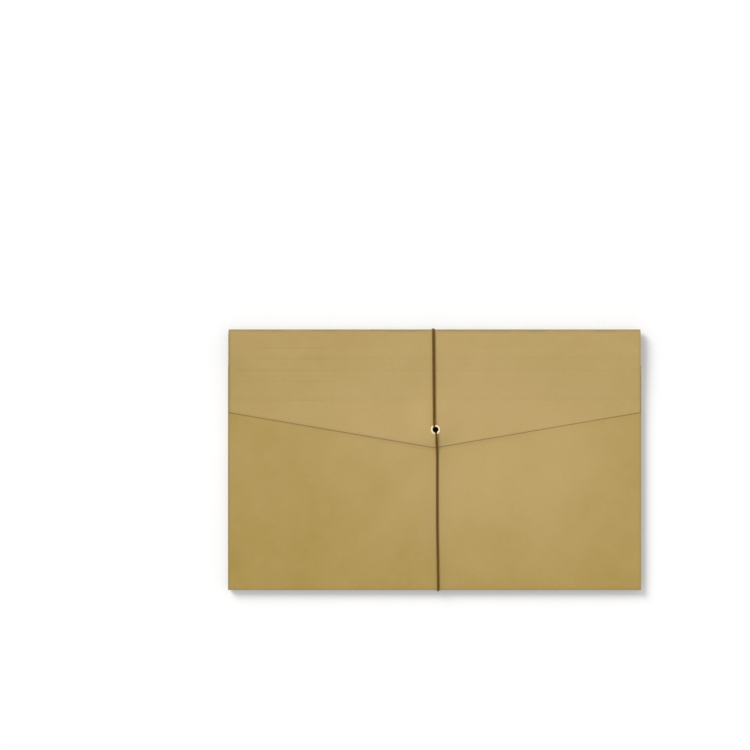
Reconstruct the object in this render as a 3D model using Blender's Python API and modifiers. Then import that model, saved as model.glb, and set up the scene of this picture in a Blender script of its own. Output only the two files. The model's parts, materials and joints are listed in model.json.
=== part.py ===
"""Expanding document envelope of kraft card, closed by an elastic cord loop that runs through an eyelet.

Lying on its back, front up: X to the right, Y towards the top fold, Z out of the front.
"""

import math

import bpy
from mathutils import Vector

# Overall sheet
WIDTH = 0.381
HEIGHT = 0.240
CARD = 0.0005
FRONT_DROP = 0.033

# Flap
FLAP_INSET = 0.0005
FLAP_SIDE = 0.076
FLAP_TIP = 0.1085
FLAP_TIP_RADIUS = 0.012
FLAP_CREASE = 0.0475
FLAP_HEADROOM = 0.0020
FOLD_TAIL = 0.0035
SPINE_SCORES = (0.017, 0.027, 0.038)
FACE_SCORES = (0.065,)
SCORE_WIDTH = 0.0008
SCORE_DEPTH = 0.00012

# Gusset
PLEAT_CARD = 0.00025
PLEAT_GAP = 0.00035
PLEAT_DEPTH = 0.020
PLEAT_COUNT = 4
GUSSET_DROP = 0.0020
TAB_WIDTH = 0.015
EDGE_INSET = 0.0003
OPEN_PIVOT = 0.0010

# Elastic cord
CORD = 0.0022
CORD_TOP_X = -0.0007
CORD_BOTTOM_X = 0.0033
BACK_STRAND_SHIFT = -0.004
LINK_LENGTH = 0.046
BED_WIDTH = 0.011
BED_DEPTH = 0.0001

# Eyelet and crimp
EYELET_X = 0.0009
EYELET_DROP = 0.092
EYELET_BORE = 0.0054
EYELET_WALL = 0.0004
EYELET_FLANGE = 0.0092
FLANGE_THICK = 0.0003
FLANGE_SEAT = 0.0001
WASHER_WIDTH = 0.0100
WASHER_THICK = 0.0003
CRIMP_WIDTH = 0.0044
CRIMP_LENGTH = 0.0090
CRIMP_THICK = 0.0008
STUB_REACH = 0.008
BORE_SPREAD = Vector((-0.0009, 0.0009, 0))
DIVE_RADIUS = 0.0015

# Clearance between touching pieces
GAP = 0.0003

# Heights of the layers, from the surface that the envelope lies on
CORD_R = CORD / 2
BACK_Z = CORD + GAP
BACK_TAB_Z = BACK_Z + CARD + GAP
PLEAT_PITCH = PLEAT_CARD + PLEAT_GAP
FIRST_PLEAT_Z = BACK_TAB_Z + PLEAT_PITCH
FRONT_TAB_Z = FIRST_PLEAT_Z + (PLEAT_COUNT - 1) * PLEAT_PITCH + PLEAT_CARD + OPEN_PIVOT
FRONT_Z = FRONT_TAB_Z + PLEAT_CARD + GAP
FLAP_Z = FRONT_Z + CARD + FLAP_HEADROOM
FLAP_TOP = FLAP_Z + CARD
STRAND_Z = FLAP_TOP + GAP + CORD_R

# Top fold: the card turns half round on the fold axis, and the cord turns round it outside
FOLD_RADIUS = (FLAP_Z - BACK_Z) / 2
FOLD_Y = HEIGHT / 2 - FOLD_RADIUS - CARD / 2
FOLD_Z = BACK_Z + CARD / 2 + FOLD_RADIUS
WRAP_RADIUS = FOLD_RADIUS + CARD / 2 + GAP + CORD_R

# Edges in plan
SIDE = WIDTH / 2
TOP = HEIGHT / 2
BOTTOM = -HEIGHT / 2
HINGE_X = SIDE - EDGE_INSET
HINGE_Y = BOTTOM + EDGE_INSET
FRONT_TOP = TOP - FRONT_DROP
GUSSET_TOP = FRONT_TOP - GUSSET_DROP
CREASE_Y = TOP - FLAP_CREASE
EYELET = Vector((EYELET_X, TOP - EYELET_DROP, 0))

# Cord route
WRAP_Y = BOTTOM - GAP - CORD_R
BEND_RADIUS = GAP + CORD_R
FRONT_STRAND_Z = FRONT_Z + CARD + GAP + CORD_R
FLANGE_TOP = FLAP_TOP + FLANGE_SEAT + FLANGE_THICK
OVER_FLANGE_Z = FLANGE_TOP + GAP + CORD_R
WASHER_Z = FLAP_Z - GAP - WASHER_THICK
CRIMP_Z = FRONT_Z + CARD + GAP
CORD_END_Z = CRIMP_Z + CRIMP_THICK + GAP

CIRCLE_STEPS = 32
ARC_STEPS = 12


def clear_scene():
    for item in list(bpy.data.objects):
        bpy.data.objects.remove(item, do_unlink=True)


def collection(name):
    made = bpy.data.collections.new(name)
    bpy.context.scene.collection.children.link(made)
    return made


def material(name, colour, roughness, metallic):
    made = bpy.data.materials.new(name)
    made.use_nodes = True
    shader = made.node_tree.nodes["Principled BSDF"]
    shader.inputs["Base Color"].default_value = (*colour, 1)
    shader.inputs["Roughness"].default_value = roughness
    shader.inputs["Metallic"].default_value = metallic
    return made


clear_scene()
PARTS = collection("expanding_envelope")
CUTTERS = collection("cutters")
CARD_LOOK = material("kraft_card", (0.49, 0.35, 0.14), 0.85, 0.0)
GUSSET_LOOK = material("kraft_gusset", (0.43, 0.30, 0.12), 0.85, 0.0)
CORD_LOOK = material("elastic_cord", (0.12, 0.06, 0.015), 0.8, 0.0)
METAL_LOOK = material("nickel", (0.78, 0.74, 0.66), 0.3, 1.0)


def pivot(name, place, parent=None):
    """An empty on a joint's axis, at a place in the world, that carries the pieces moving on that joint."""
    made = bpy.data.objects.new(name, None)
    made["place"] = tuple(place)
    made.location = Vector(place) - (Vector(parent["place"]) if parent else Vector())
    made.parent = parent
    made.empty_display_size = 0.01
    PARTS.objects.link(made)
    return made


def carry(item, on, look):
    """Name an object's carrier and material, and keep its points where they are in the world."""
    item.data.materials.append(look)
    item.parent = on
    item.location = item.location - Vector(on["place"])
    PARTS.objects.link(item)
    return item


def flat_curve(name, loops, thickness):
    curve = bpy.data.curves.new(name, "CURVE")
    curve.dimensions = "2D"
    curve.fill_mode = "BOTH"
    curve.extrude = thickness / 2
    for loop in loops:
        spline = curve.splines.new("POLY")
        spline.points.add(len(loop) - 1)
        spline.use_cyclic_u = True
        for point, (x, y) in zip(spline.points, loop):
            point.co = (x, y, 0, 1)
    return bpy.data.objects.new(name, curve)


def sheet(name, loops, low, thickness, on, look):
    """A flat sheet: an outline with any holes, lying level with its lower face at a height."""
    made = flat_curve(name, loops, thickness)
    made.location = (0, 0, low + thickness / 2)
    return carry(made, on, look)


def tube(name, points, on, look=CORD_LOOK):
    """A stretch of cord along points in the world."""
    curve = bpy.data.curves.new(name, "CURVE")
    curve.dimensions = "3D"
    curve.bevel_depth = CORD_R
    curve.bevel_resolution = 2
    curve.use_fill_caps = True
    spline = curve.splines.new("POLY")
    spline.points.add(len(points) - 1)
    spline.use_smooth = True
    for point, place in zip(spline.points, points):
        point.co = (*place, 1)
    return carry(bpy.data.objects.new(name, curve), on, look)


def turned(name, profile, place, on, look):
    """A ring turned about Z: a closed profile of (radius, height) points, swept by a Screw modifier."""
    mesh = bpy.data.meshes.new(name)
    count = len(profile)
    edges = [(i, (i + 1) % count) for i in range(count)]
    mesh.from_pydata([(r, 0, z) for r, z in profile], edges, [])
    made = bpy.data.objects.new(name, mesh)
    made.location = place
    screw = made.modifiers.new("turn", "SCREW")
    screw.steps = CIRCLE_STEPS
    screw.render_steps = CIRCLE_STEPS
    screw.use_merge_vertices = True
    screw.merge_threshold = 0.00001
    return carry(made, on, look)


def block(name, size, centre):
    """A box by its size and centre, with its scale applied."""
    bpy.ops.mesh.primitive_cube_add(size=1)
    made = bpy.context.object
    made.name = name
    made.data.transform(
        [[size[0], 0, 0, 0], [0, size[1], 0, 0], [0, 0, size[2], 0], [0, 0, 0, 1]]
    )
    made.location = centre
    for holder in list(made.users_collection):
        holder.objects.unlink(made)
    return made


def circle(centre, radius, steps=CIRCLE_STEPS):
    turns = (2 * math.pi * i / steps for i in range(steps))
    return [(centre[0] + radius * math.cos(a), centre[1] + radius * math.sin(a)) for a in turns]


def arc(centre, radius, start, end, steps=ARC_STEPS):
    """Points (u, v) along an arc, by angles in degrees."""
    turns = (math.radians(start + (end - start) * i / steps) for i in range(steps + 1))
    return [(centre[0] + radius * math.cos(a), centre[1] + radius * math.sin(a)) for a in turns]


def rectangle(left, bottom, right, top):
    return [(left, bottom), (right, bottom), (right, top), (left, top)]


def stamped(name, loops, low, grooves, on):
    """A card sheet with shallow grooves pressed into it, each groove a box by its size and centre."""
    flat = flat_curve(f"{name}_outline", loops, CARD)
    PARTS.objects.link(flat)
    graph = bpy.context.evaluated_depsgraph_get()
    mesh = bpy.data.meshes.new_from_object(flat.evaluated_get(graph))
    bpy.data.objects.remove(flat)
    card = bpy.data.objects.new(name, mesh)
    card.location = (0, 0, low + CARD / 2)
    weld = card.modifiers.new("weld", "WELD")
    weld.merge_threshold = 0.00001
    for number, (size, centre) in enumerate(grooves, 1):
        groove = block(f"{name}_groove_{number}", size, centre)
        groove.hide_render = True
        groove.display_type = "WIRE"
        CUTTERS.objects.link(groove)
        cut = card.modifiers.new(f"groove_{number}", "BOOLEAN")
        cut.operation = "DIFFERENCE"
        cut.object = groove
    return carry(card, on, CARD_LOOK)


def score_lines(drops):
    """Score lines across the flap's outer face, by their distance below the top fold."""
    size = (2 * WIDTH, SCORE_WIDTH, 2 * SCORE_DEPTH)
    return [(size, (0, TOP - drop, FLAP_TOP)) for drop in drops]


def back_panel(on):
    """The back, with a shallow bed pressed into its outer face where the cord lies."""
    outline = rectangle(-SIDE, BOTTOM, SIDE, FOLD_Y - FOLD_TAIL - GAP)
    bed_x = (CORD_TOP_X + BACK_STRAND_SHIFT + CORD_BOTTOM_X) / 2
    bed = ((BED_WIDTH, 2 * HEIGHT, 2 * BED_DEPTH), (bed_x, 0, BACK_Z))
    stamped("back_panel", [outline], BACK_Z, [bed], on)


def gusset_outline(side, depth):
    """Plan of a gusset strip of some depth on one side, mitred at the bottom corners."""
    if side == "bottom":
        reach = HINGE_X - GAP
        return [
            (-reach, HINGE_Y),
            (reach, HINGE_Y),
            (reach - depth, HINGE_Y + depth),
            (depth - reach, HINGE_Y + depth),
        ]
    corner = HINGE_Y + GAP
    right = [
        (HINGE_X, corner),
        (HINGE_X, GUSSET_TOP),
        (HINGE_X - depth, GUSSET_TOP),
        (HINGE_X - depth, corner + depth),
    ]
    return right if side == "right" else [(-x, y) for x, y in right]


def gusset_hinge(side, number):
    """A point on the fold line below a pleat: odd pleats fold at the outer edge, even ones inside."""
    depth = 0 if number % 2 else PLEAT_DEPTH
    height = FIRST_PLEAT_Z + (number - 1) * PLEAT_PITCH - PLEAT_GAP / 2
    places = {
        "left": (depth - HINGE_X, 0, height),
        "right": (HINGE_X - depth, 0, height),
        "bottom": (0, HINGE_Y + depth, height),
    }
    return places[side]


def gusset(side, back, front):
    """One side's glue tabs and its zigzag of pleats, each pleat hung on the one below it."""
    tab = [gusset_outline(side, TAB_WIDTH)]
    sheet(f"{side}_back_tab", tab, BACK_TAB_Z, PLEAT_CARD, back, GUSSET_LOOK)
    sheet(f"{side}_front_tab", tab, FRONT_TAB_Z, PLEAT_CARD, front, GUSSET_LOOK)
    leaf = [gusset_outline(side, PLEAT_DEPTH)]
    below = back
    for number in range(1, PLEAT_COUNT + 1):
        below = pivot(f"{side}_fold_{number}", gusset_hinge(side, number), below)
        low = FIRST_PLEAT_Z + (number - 1) * PLEAT_PITCH
        sheet(f"{side}_pleat_{number}", leaf, low, PLEAT_CARD, below, GUSSET_LOOK)


def flap_outline():
    """The flap face below its crease: square sides and a shallow V with a rounded tip."""
    reach = SIDE - FLAP_INSET
    slope = math.atan2(FLAP_TIP - FLAP_SIDE, reach)
    tip_centre = (0, TOP - FLAP_TIP + FLAP_TIP_RADIUS / math.cos(slope))
    degrees = math.degrees(slope)
    tip = arc(tip_centre, FLAP_TIP_RADIUS, -90 + degrees, -90 - degrees, steps=4)
    upper = CREASE_Y - GAP / 2
    return [(reach, upper), (reach, TOP - FLAP_SIDE), *tip, (-reach, TOP - FLAP_SIDE), (-reach, upper)]


def top_fold(on):
    """The card turning half round between the back and the flap, with a short level tail at the back."""
    outer_r, inner_r = FOLD_RADIUS + CARD / 2, FOLD_RADIUS - CARD / 2
    outline = [(-FOLD_TAIL, -outer_r), *arc((0, 0), outer_r, -90, 90)]
    outline += [*arc((0, 0), inner_r, 90, -90), (-FOLD_TAIL, -inner_r)]
    made = flat_curve("flap_fold", [outline], 2 * (SIDE - FLAP_INSET))
    made.rotation_euler = (math.pi / 2, 0, math.pi / 2)
    made.location = (0, FOLD_Y, FOLD_Z)
    return carry(made, on, CARD_LOOK)


def flap(spine, face):
    reach = SIDE - FLAP_INSET
    strip = rectangle(-reach, CREASE_Y + GAP / 2, reach, FOLD_Y - GAP)
    stamped("flap_spine", [strip], FLAP_Z, score_lines(SPINE_SCORES), spine)
    hole = circle(EYELET, EYELET_BORE / 2 + EYELET_WALL + GAP)
    stamped("flap_face", [flap_outline(), hole], FLAP_Z, score_lines(FACE_SCORES), face)


def eyelet(on):
    """The eyelet's flange and barrel, the washer behind the flap, and the crimp on the cord's ends."""
    bore = EYELET_BORE / 2
    barrel = bore + EYELET_WALL
    flange = EYELET_FLANGE / 2
    under = FLANGE_TOP - FLANGE_THICK
    profile = [(bore, FLANGE_TOP), (flange, FLANGE_TOP), (flange, under), (barrel, under)]
    profile += [(barrel, WASHER_Z), (bore, WASHER_Z)]
    turned("eyelet", profile, EYELET, on, METAL_LOOK)
    low, high = WASHER_Z, WASHER_Z + WASHER_THICK
    hole = barrel + GAP
    rim = WASHER_WIDTH / 2
    turned("eyelet_washer", [(hole, high), (rim, high), (rim, low), (hole, low)], EYELET, on, METAL_LOOK)
    centre = EYELET + Vector((0, 0, CRIMP_Z + CRIMP_THICK / 2))
    crimp = block("cord_crimp", (CRIMP_WIDTH, CRIMP_LENGTH, CRIMP_THICK), centre)
    edge = crimp.modifiers.new("edge", "BEVEL")
    edge.width = CRIMP_THICK / 4
    edge.segments = 2
    carry(crimp, on, METAL_LOOK)


def strand_x(y):
    """The flap strand's sideways place: it leans a little from the top fold to its end in the eyelet."""
    return CORD_TOP_X + (EYELET.x + BORE_SPREAD.x - CORD_TOP_X) * (TOP - y) / EYELET_DROP


def back_point(y):
    """A point on the back strand, which leans from the bottom edge to beside the flap strand at the top."""
    lean = CORD_TOP_X + BACK_STRAND_SHIFT - CORD_BOTTOM_X
    return (CORD_BOTTOM_X + lean * (y - BOTTOM) / HEIGHT, y, CORD_R)


def dive(centre, sign):
    """A cord end coming in level over the flange and turning down into the eyelet."""
    turn_y = centre[1] + sign * DIVE_RADIUS
    start, end = (90, 180) if sign > 0 else (90, 0)
    bend = arc((turn_y, OVER_FLANGE_Z - DIVE_RADIUS), DIVE_RADIUS, start, end, steps=4)
    return [(centre[0], y, z) for y, z in bend] + [(centre[0], centre[1], CORD_END_Z)]


def cord(fold, spine, face, front, link):
    """The elastic loop as stiff strands: up the back, round the fold, down the flap, down the front."""
    flange = EYELET_FLANGE / 2
    link_y = WRAP_Y + LINK_LENGTH
    tube("cord_back", [back_point(FOLD_Y - GAP), back_point(link_y + GAP)], fold)
    wrap = arc((FOLD_Y, FOLD_Z), WRAP_RADIUS, -90, 90)
    shifts = [BACK_STRAND_SHIFT * (1 - i / ARC_STEPS) for i in range(ARC_STEPS + 1)]
    tube("cord_top", [(CORD_TOP_X + s, y, z) for s, (y, z) in zip(shifts, wrap)], fold)

    upper = (strand_x(FOLD_Y), FOLD_Y - GAP, STRAND_Z)
    crease = CREASE_Y + GAP / 2
    tube("cord_spine", [upper, (strand_x(crease), crease, STRAND_Z)], spine)
    crease = CREASE_Y - GAP / 2
    near = EYELET.y + 2 * flange
    down = [(strand_x(crease), crease, STRAND_Z), (strand_x(near), near, STRAND_Z)]
    tube("cord_flap", down + dive(EYELET + BORE_SPREAD, 1), face)

    out = dive(EYELET - BORE_SPREAD, -1)[::-1]
    stub_end = (EYELET.x - BORE_SPREAD.x, EYELET.y - STUB_REACH, OVER_FLANGE_Z)
    tube("cord_stub", [*out, stub_end], face)

    run_start = (stub_end[0], stub_end[1] - GAP, OVER_FLANGE_Z)
    bend_y = WRAP_Y + BEND_RADIUS
    run_end = (CORD_BOTTOM_X, bend_y + GAP, FRONT_STRAND_Z)
    tube("cord_front_run", [run_start, run_end], front)

    middle = (FRONT_STRAND_Z + CORD_R) / 2
    bend = arc((bend_y, FRONT_STRAND_Z - BEND_RADIUS), BEND_RADIUS, 90, 180, steps=4)
    drop = (WRAP_Y, middle + GAP / 2)
    tube("cord_bottom_front", [(CORD_BOTTOM_X, y, z) for y, z in [*bend, drop]], front)

    bend = arc((bend_y, CORD_R + BEND_RADIUS), BEND_RADIUS, 180, 270, steps=4)
    drop = (WRAP_Y, middle - GAP / 2)
    tube("cord_bottom_back", [(CORD_BOTTOM_X, y, z) for y, z in [drop, *bend]], fold)
    tube("cord_bottom_link", [back_point(bend_y + GAP), back_point(link_y)], link)


def build():
    back = pivot("back", (0, 0, 0))
    front = pivot("front", (0, 0, FRONT_Z), back)
    fold = pivot("fold", (0, FOLD_Y, FOLD_Z), back)
    spine = pivot("spine", (0, FOLD_Y, FOLD_Z), fold)
    face = pivot("face", (0, CREASE_Y, FLAP_Z), spine)
    front_cord = pivot("front_cord", (CORD_BOTTOM_X, WRAP_Y, FRONT_STRAND_Z), fold)
    link = pivot("link", (CORD_BOTTOM_X, WRAP_Y, CORD_R), fold)

    back_panel(back)
    front_sheet = [rectangle(-SIDE, BOTTOM, SIDE, FRONT_TOP)]
    sheet("front_panel", front_sheet, FRONT_Z, CARD, front, CARD_LOOK)
    for side in ("left", "right", "bottom"):
        gusset(side, back, front)
    top_fold(fold)
    flap(spine, face)
    eyelet(face)
    cord(fold, spine, face, front_cord, link)


build()
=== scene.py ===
import json
import math

import bmesh
import bpy
from mathutils import Matrix, Vector
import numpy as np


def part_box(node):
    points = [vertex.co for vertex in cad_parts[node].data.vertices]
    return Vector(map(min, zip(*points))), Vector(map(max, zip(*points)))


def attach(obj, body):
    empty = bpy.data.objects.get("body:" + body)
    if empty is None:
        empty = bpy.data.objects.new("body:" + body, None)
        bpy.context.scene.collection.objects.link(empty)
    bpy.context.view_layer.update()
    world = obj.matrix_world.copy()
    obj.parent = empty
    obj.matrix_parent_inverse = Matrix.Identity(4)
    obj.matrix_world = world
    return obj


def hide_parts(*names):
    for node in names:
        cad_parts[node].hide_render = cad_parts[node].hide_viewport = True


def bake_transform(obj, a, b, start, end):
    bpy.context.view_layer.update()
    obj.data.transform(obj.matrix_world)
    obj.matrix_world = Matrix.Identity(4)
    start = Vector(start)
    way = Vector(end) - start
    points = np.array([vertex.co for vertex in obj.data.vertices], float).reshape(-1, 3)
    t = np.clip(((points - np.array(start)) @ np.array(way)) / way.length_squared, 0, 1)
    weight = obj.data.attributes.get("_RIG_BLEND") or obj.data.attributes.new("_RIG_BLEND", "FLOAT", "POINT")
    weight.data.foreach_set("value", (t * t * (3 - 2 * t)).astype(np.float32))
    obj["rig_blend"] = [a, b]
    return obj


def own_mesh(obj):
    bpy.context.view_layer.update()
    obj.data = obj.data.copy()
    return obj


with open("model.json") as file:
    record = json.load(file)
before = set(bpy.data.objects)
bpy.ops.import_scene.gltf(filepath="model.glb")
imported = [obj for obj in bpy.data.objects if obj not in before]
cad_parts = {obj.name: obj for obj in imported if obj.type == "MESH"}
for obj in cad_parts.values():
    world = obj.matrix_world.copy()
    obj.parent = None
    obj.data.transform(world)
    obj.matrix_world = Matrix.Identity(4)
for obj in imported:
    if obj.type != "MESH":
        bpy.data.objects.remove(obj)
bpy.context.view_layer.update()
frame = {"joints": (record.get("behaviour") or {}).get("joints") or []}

# Photograph: what the square frame covers, and the point of the envelope under its middle
FRAME_WIDTH = 0.6919
FRAME_MIDDLE = (-0.0549, 0.0784)
CAMERA_HEIGHT = 3.0
SENSOR_WIDTH = 36
CLIP_END = 100

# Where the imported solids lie
joints = {joint["name"]: joint for joint in frame["joints"]}
back_low, back_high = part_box("back_panel")
front_low, front_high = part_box("front_panel")
face_low, face_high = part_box("flap_face")
fold_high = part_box("flap_fold")[1]
eyelet_low, eyelet_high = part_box("eyelet")
washer_low, washer_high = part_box("eyelet_washer")
crimp_low, crimp_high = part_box("cord_crimp")
FOLD_AXIS = Vector(joints["flap_open"]["pos_m"])
CREASE = Vector(joints["face_level"]["pos_m"])
LINK_PIVOT = Vector(joints["link_turn"]["pos_m"])
LINK_LENGTH, LINK_START = 0.046, 0.0014
LINK_TOP = LINK_PIVOT.y + LINK_LENGTH
EYELET = (eyelet_low + eyelet_high) / 2
CARD = front_high.z - front_low.z

# How close points count as one or as on a line; the corner angle is in radians, the smooth ones in degrees
MERGE, BRAID_MERGE = 1e-7, 1e-6
ON_SIDE, ON_LINE = 1e-6, 1e-5
CORNER_ANGLE = 1
SMOOTH_CARD, SMOOTH_LEAF, SMOOTH_METAL, SMOOTH_CORD = 32, 50, 40, 60

# Card finish: rounded cut rims darkened with wear and painted shade, score lines darkened with painted
# shade, and the slow wave of a big sheet
RIM_ROUND = 0.00013
RIM_WIDTH = 0.0026
RIM_ROWS = (0.0005, 0.0013, 0.0026)
RIM_DROOP = 0.00018
# How much wear and painted shade darken each side's rim; the left, whose rounded rim faces the lamp, gets
# the most
LEFT_WEAR_AND_SHADE, RIGHT_WEAR_AND_SHADE, BOTTOM_WEAR_AND_SHADE = 1.3, 0.35, 0.4
FRONT_TOP_WEAR_AND_SHADE = 0.5
SCORE_WIDTH = 0.0009
SCORE_DEPTH = 0.00004
SCORES = (
    (0.017, -0.167, -0.091),
    (0.027, -0.169, -0.091),
    (0.038, -0.181, -0.091),
    (0.065, -0.157, -0.097),
)
CREASE_SCORE = (-0.184, -0.091)
# Score lines carry painted shade along their grooves, faint outside each line's span
SCORE_FAINT = 0.18
SCORE_FADE = 0.012
WAVE = 0.00009
CALM_REACH = 0.02
GRID = 0.006

# Flap outline
FLAP_SIDE_Y = 0.044
FLAP_APEX_Y = 0.0115
FLAP_TIP_RADIUS = 0.012
FLAP_TIP_TURNS = (-1, -0.6, -0.2, 0.2, 0.6, 1)
FLAP_DROOP = 0.00008
# Wear and painted shade along the two slopes of the flap's V
FLAP_LEFT_WEAR_AND_SHADE, FLAP_RIGHT_WEAR_AND_SHADE = 0.25, 0.04
# Wear and painted shade along the top fold, darkest at its outermost edge, which faces the lamp
FOLD_WEAR_AND_SHADE = 1.5
FOLD_SEAM = 60
FOLD_SLACK = 0.0006
FOLD_SLACK_TURN, FOLD_SLACK_SPAN = 20, 42
FOLD_STEPS, FOLD_UPPER_STEPS = 30, 8
FLAP_SAG = 0.0017
SAG_RIGHT, SAG_RIGHT_X = 0.00021, 0.08
SAG_TOP_Y, SAG_FULL_Y = 0.104, 0.046
SAG_CLEAR = 0.006
SAG_BESIDE, SAG_BELOW = 0.026, 0.017
BEND_HALF = 0.0016
BEND_ROWS = (-1, -0.6, 0.6, 1)
PUNCH_RADIUS, PUNCH_DEPTH, PUNCH_STEPS = 0.0035, 0.004, 48

# Gusset leaves
LEAF = 0.00025
LEAF_SPARE = 0.001
PLEATS = (1, 2, 3, 4)
PLEAT_STEPS = 14
LEAF_TILT = 28.57
BEND_OVERLAP = 33
NEST = 0.000012
BEND_FLAT = 0.35
LEAF_INSET = 0.00015
MITRE_LAP = 0.00015

# Eyelet, washer and crimp
RING_PROUD, RING_INSET = 0.00015, 0.0002
RING_BORE, RING_WALL, RING_LIP = 0.0025, 0.0003, 0.0005
RING_BEAD, WASHER_BEAD, BEAD_RISE = 0.00022, 0.00018, 0.00026
BEAD_STEPS, RING_STEPS = 6, 64
# Painted shade down the eyelet's bore, fading out just past its wall
BORE_DARK, BORE_FADE = 0.0003, 0.0002
CRIMP_CUTS, CRIMP_NECKS = 11, 2
PINCH_WIDE, PINCH_TALL = 0.10, 0.38
# CRIMP_FADE: how far above its lowest edge the crimp's painted shade comes in full
CRIMP_ROUND, CRIMP_FADE = 0.00022, 0.0004

# Elastic cord
CORD_RADIUS = 0.0011
INNER_THIN = 0.12
FRONT_THIN, FRONT_PRESS = 0.16, 0.3
TOP_X = -0.0012
BOTTOM_X = 0.0033
RUN_X = 0.0024
BACK_SHIFT = -0.004
BRAID_ROUND = 28
BRAID_STEP = 0.0002
BRAID_PITCH = 0.0024
BRAID_STARTS = 4
BRAID_OVER = 0.3
BRAID_HEIGHT = 0.05
FLAT_WIDER, FLAT_LOWER = 0.2, 0.65
STRAND_STEPS = 24
DIVE_RADIUS = 0.0011
DIVE_STEPS, HEM_STEPS, WRAP_STEPS = 8, 12, 24
DIVE_LEAD, STUB_LEVEL = 0.0092, 0.007
OVER_EYELET, OVER_CRIMP, HEM_CLEAR = 0.0003, 0.0002, 0.0003
UPPER_END = Vector((-0.0013, 0.0010, 0))
LOWER_END = Vector((0.0004, -0.0012, 0))
END_THIN = 0.25
# Painted shade in a band along the cord on the front sheet: its strength and reach
CORD_SHADE = 0.16
CORD_SHADE_REACH = 0.018
# Painted shadow on the front sheet just below the flap's V edge: strength, drop below the edge, width, where
# it is full and where it ends, and its rows of points
TIP_SHADOW = 0.22
TIP_SHADOW_DROP, TIP_SHADOW_WIDTH = 0.0019, 0.0031
TIP_SHADOW_FULL, TIP_SHADOW_END = 0.05, 0.115
TIP_SHADOW_ROWS = (-0.0012, 0, 0.001, 0.0019, 0.0028, 0.0038, 0.005)
# Painted shade on the cord round the eyelet's hole, full near its middle and gone at the first distance
HOLE_DARK, HOLE_FADE = 0.0034, 0.0014
PRESSED = 0.0008
LYING = 0.3
LIFT = 0.0001
FOLD_WRAP = 0.0051
LANDING_Y = 0.003
RUN_START_Y = -0.022
STUB_END_Y = -0.062

# Where one length of the cord is nested in the next: laps, and the turns about the top fold in degrees
NEST_LAP, NEST_THIN = 0.0006, 0.04
STRAND_LAP = 0.0002
RUN_INSIDE, RUN_OUTSIDE, RUN_SHORT = 0.0002, 0.0004, 0.0001
MIDDLE_LAP = 0.0004
BACK_TURN_END, OVER_TURN_START = 30, 20
SHIFT_END, SHIFT_SPAN = -20, 70
THIN_START, THIN_SPAN = -60, 20

# Studio
LAMP_POWER, LAMP_SPREAD = 2.37, 30
LAMP_DIRECTION = (0.95, -1, -1.02)
SKY_LIGHT, SKY_SEEN = 0.55, 1.0
FLOOR_HALF, FLOOR_CELLS = 4, 8
FLOOR_DARK, FLOOR_PALE, FLOOR_FILL = 0.855, 0.865, 0.155


class Shade:
    """A shader value that takes part in Python sums: each sum adds its Math node."""

    def __init__(self, wiring, socket):
        self.wiring = wiring
        self.socket = socket

    def sum(self, operation, first, second):
        return self.wiring.node("ShaderNodeMath", {"operation": operation}, {0: first, 1: second})

    def __add__(self, other):
        return self.sum("ADD", self, other)

    def __radd__(self, other):
        return self.sum("ADD", other, self)

    def __sub__(self, other):
        return self.sum("SUBTRACT", self, other)

    def __rsub__(self, other):
        return self.sum("SUBTRACT", other, self)

    def __mul__(self, other):
        return self.sum("MULTIPLY", self, other)

    def __rmul__(self, other):
        return self.sum("MULTIPLY", other, self)

    def __pow__(self, other):
        return self.sum("POWER", self, other)


class Wiring:
    """A tree of shader nodes: every node comes from one method with its settings and its sockets."""

    def __init__(self, tree):
        self.tree = tree
        self.tree.nodes.clear()

    def node(self, kind, settings=None, sockets=None, output=0):
        made = self.tree.nodes.new(kind)
        for key, value in (settings or {}).items():
            setattr(made, key, value)
        for key, value in (sockets or {}).items():
            self.plug(made.inputs[key], value)
        return made if output is None else Shade(self, made.outputs[output])

    def plug(self, socket, value):
        if isinstance(value, Shade):
            self.tree.links.new(value.socket, socket)
        else:
            socket.default_value = value

    def place(self, scale=(1, 1, 1), turn=0):
        """Object coordinates, stretched and turned in the sheet's plane."""
        where = self.node("ShaderNodeTexCoord", output="Object")
        turned = (0, 0, math.radians(turn))
        sockets = {"Vector": where, "Rotation": turned, "Scale": scale}
        return self.node("ShaderNodeMapping", {}, sockets)

    def noise(self, where, scale, detail=2.0, roughness=0.5):
        sockets = {"Vector": where, "Scale": scale, "Detail": detail, "Roughness": roughness}
        return self.node("ShaderNodeTexNoise", {}, sockets)

    def span(self, value, low, high, to_low=0.0, to_high=1.0):
        """The value's stretch from low to high, spread over a new range and held at its ends."""
        sockets = {0: value, 1: low, 2: high, 3: to_low, 4: to_high}
        return self.node("ShaderNodeMapRange", {"clamp": True}, sockets)

    def painted(self, name):
        """A value painted on the piece's own points."""
        settings = {"attribute_name": name, "attribute_type": "GEOMETRY"}
        return self.node("ShaderNodeAttribute", settings, output="Fac")

    def mix(self, share, first, second):
        settings = {"data_type": "RGBA", "blend_type": "MIX", "clamp_factor": True}
        return self.node("ShaderNodeMix", settings, {0: share, 6: first, 7: second}, output=2)

    def bump(self, height, distance, strength):
        sockets = {"Height": height, "Distance": distance, "Strength": strength}
        return self.node("ShaderNodeBump", {}, sockets)


class Finish(Wiring):
    """A material: one Principled shader and the nodes that feed it."""

    def __init__(self, name):
        self.material = bpy.data.materials.new(name)
        self.material.use_nodes = True
        super().__init__(self.material.node_tree)
        self.shader = self.node("ShaderNodeBsdfPrincipled", output=None)
        surface = Shade(self, self.shader.outputs[0])
        self.output = self.node("ShaderNodeOutputMaterial", {}, {0: surface}, output=None)

    def feed(self, **sockets):
        for key, value in sockets.items():
            self.plug(self.shader.inputs[key.replace("_", " ")], value)
        return self.material


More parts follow.
